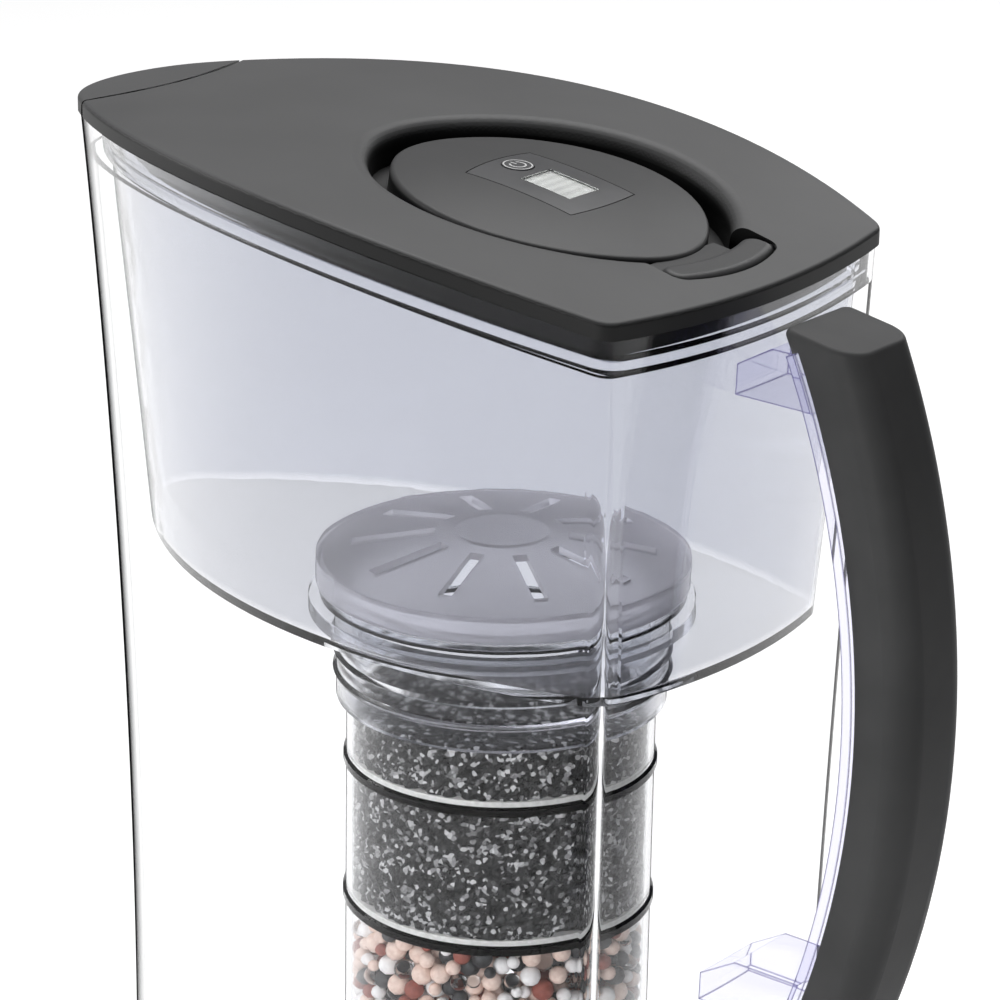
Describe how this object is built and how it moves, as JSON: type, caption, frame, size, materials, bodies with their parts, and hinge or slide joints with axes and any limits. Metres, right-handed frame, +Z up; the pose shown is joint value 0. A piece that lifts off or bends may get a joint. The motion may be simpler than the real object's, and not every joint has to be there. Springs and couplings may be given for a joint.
{
  "type": "water filter pitcher",
  "caption": "Clear filter jug with a hooped handle, lift-out tinted hopper, hanging multi-stage cartridge, and a dark lid with hinged fill hatch, filter timer and pour flap.",
  "frame": {"origin": "on the base plane, under the filter's axis, where the jug is widest", "axes": "+Z up; -X towards the pouring spout; +X towards the handle; +Y across the jug"},
  "size_m": [0.2691, 0.14, 0.288],
  "materials": {
    "clear_plastic": "clear, polished",
    "tinted_plastic": "clear, bluish grey tint",
    "frosted_plastic": "frosted",
    "filter_plastic": "clear, milky",
    "cup_plastic": "clear",
    "seal_rubber": "smooth",
    "felt": "non-woven",
    "carbon": "granular",
    "mineral": "unglazed balls",
    "lid_plastic": "fine grain",
    "soft_grip": "soft touch",
    "pin_steel": "ground",
    "bezel_plastic": "satin",
    "display_glass": "clear",
    "display_panel": "pale grey-green",
    "board": "solder mask",
    "cell_steel": "plain"
  },
  "bodies": {
    "jug": {"jug_shell": "clear_plastic", "handle_frame": "clear_plastic", "handle_grip": "soft_grip"},
    "hopper": {"hopper": "tinted_plastic"},
    "filter": {"filter_cap": "frosted_plastic", "filter_head": "filter_plastic", "head_seal": "seal_rubber", "upper_cup": "cup_plastic", "middle_cup": "cup_plastic", "lower_cup": "cup_plastic", "upper_pad": "felt", "middle_pad": "felt", "lower_pad": "felt", "upper_carbon": "carbon", "lower_carbon": "carbon", "mineral_bed": "mineral"},
    "lid": {"lid_cover": "lid_plastic", "hatch_hinge_pin": "pin_steel", "flap_hinge_pin": "pin_steel"},
    "flap": {"pour_flap": "lid_plastic"},
    "hatch": {"fill_hatch": "lid_plastic", "timer_bezel": "bezel_plastic", "lcd_window": "display_glass", "lcd_panel": "display_panel", "timer_board": "board", "coin_cell": "cell_steel", "battery_cover": "lid_plastic"},
    "button": {"reset_button": "bezel_plastic"}
  },
  "joints": [
    {"name": "hopper_lift", "type": "slide", "parent": "jug", "child": "hopper", "axis": [0, 0, 1], "range_m": [0, 0.14]},
    {"name": "filter_lift", "type": "slide", "parent": "hopper", "child": "filter", "axis": [0, 0, 1], "range_m": [0, 0.06]},
    {"name": "lid_lift", "type": "slide", "parent": "hopper", "child": "lid", "axis": [0, 0, 1], "range_m": [0, 0.08]},
    {"name": "hatch_hinge", "type": "hinge", "parent": "lid", "child": "hatch", "pos_m": [0.06524, 0, 0.27066], "axis": [0, 1, 0], "range_deg": [0, 95]},
    {"name": "flap_hinge", "type": "hinge", "parent": "lid", "child": "flap", "pos_m": [-0.109, 0, 0.27959], "axis": [0, 1, 0], "range_deg": [0, 50]},
    {"name": "button_press", "type": "slide", "parent": "hatch", "child": "button", "axis": [-0.1356, 0, -0.9908], "range_m": [0, 0.0004], "stiffness_N_per_m": 900, "springref_m": -0.0004}
  ]
}
